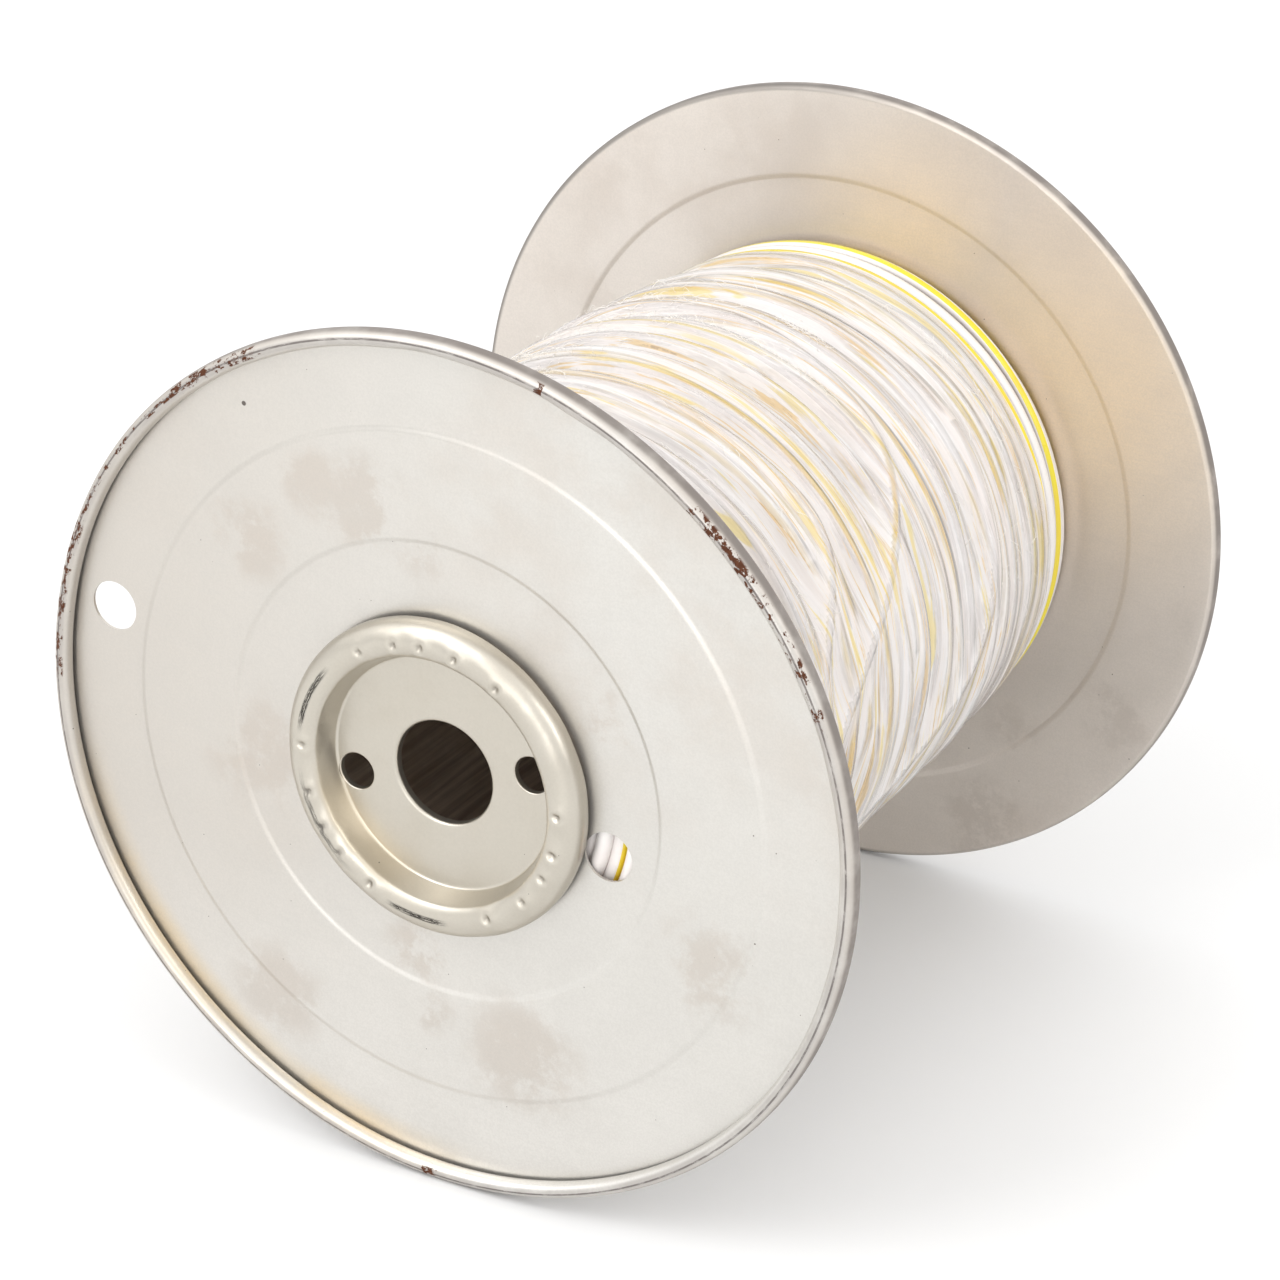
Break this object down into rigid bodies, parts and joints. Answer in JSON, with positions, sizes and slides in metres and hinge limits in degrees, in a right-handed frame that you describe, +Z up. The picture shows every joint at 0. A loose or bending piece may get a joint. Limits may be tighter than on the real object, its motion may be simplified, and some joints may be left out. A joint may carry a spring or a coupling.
{
  "type": "wire spool",
  "caption": "Steel reel with two rolled-rim flanges, pressed hub caps and a hollow barrel, wound with insulated wire under clear stretch film.",
  "frame": {"origin": "on the spool's axis, midway between the two flanges, which is the centre of the bounding box", "axes": "+Y along the spool's axis from the front flange to the rear flange, +Z up, +X to the right seen from the front; the spool lies on its two rims"},
  "size_m": [0.2664, 0.2584, 0.2664],
  "materials": {
    "flange_steel": "satin tinned sheet steel, faintly stained, rust specks on the rolled rim",
    "cap_steel": "satin tinned sheet steel with scuffs on the lip",
    "barrel_steel": "dull bare sheet steel",
    "wire_insulation": "white insulation with one yellow stripe",
    "stretch_film": "clear stretch film, wrinkled and streaked"
  },
  "bodies": {
    "root": {"front_flange": "flange_steel", "rear_flange": "flange_steel", "front_hub_cap": "cap_steel", "rear_hub_cap": "cap_steel", "barrel": "barrel_steel", "wire_winding": "wire_insulation", "stretch_film": "stretch_film"}
  },
  "joints": []
}
